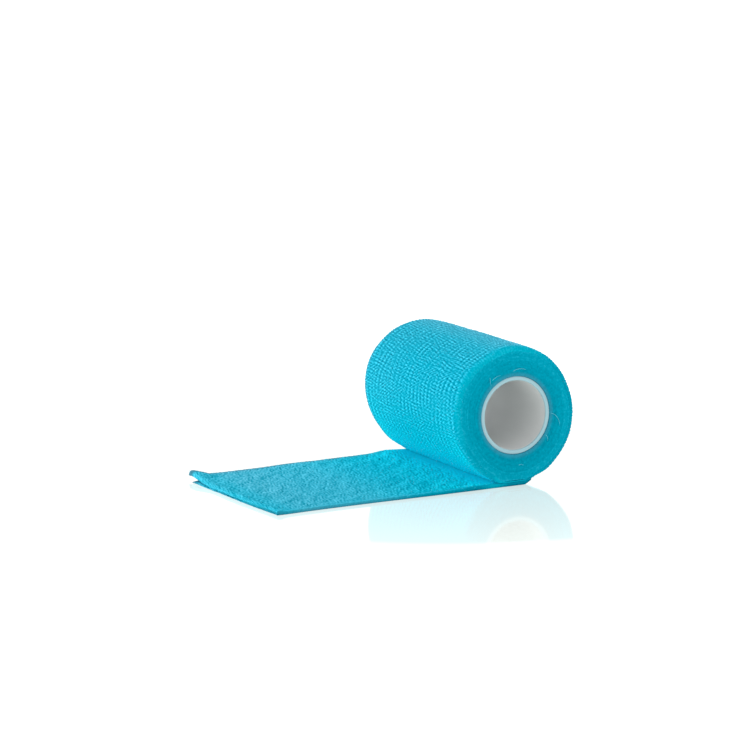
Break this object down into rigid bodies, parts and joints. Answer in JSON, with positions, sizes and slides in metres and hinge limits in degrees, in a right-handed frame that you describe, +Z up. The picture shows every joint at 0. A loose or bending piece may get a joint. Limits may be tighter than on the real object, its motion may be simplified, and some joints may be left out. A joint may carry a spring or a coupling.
{
  "type": "cohesive bandage roll",
  "caption": "Roll of crinkled cohesive bandage on a plastic core, lying on its side with its loose end run out flat, for wrapping and holding dressings",
  "frame": {"origin": "on the table, under the roll's axis and midway across the strip", "axes": "+Z up; the roll's axis runs along Y; the loose end lies towards -X"},
  "size_m": [0.1216, 0.0754, 0.0503],
  "materials": {
    "bandage": "turquoise crepe with fine crosswise crinkles, soft and matt with light flecks on the crests",
    "core": "smooth white plastic, slightly glossy"
  },
  "bodies": {
    "root": {"bandage": "bandage", "core_tube": "core"}
  },
  "joints": []
}
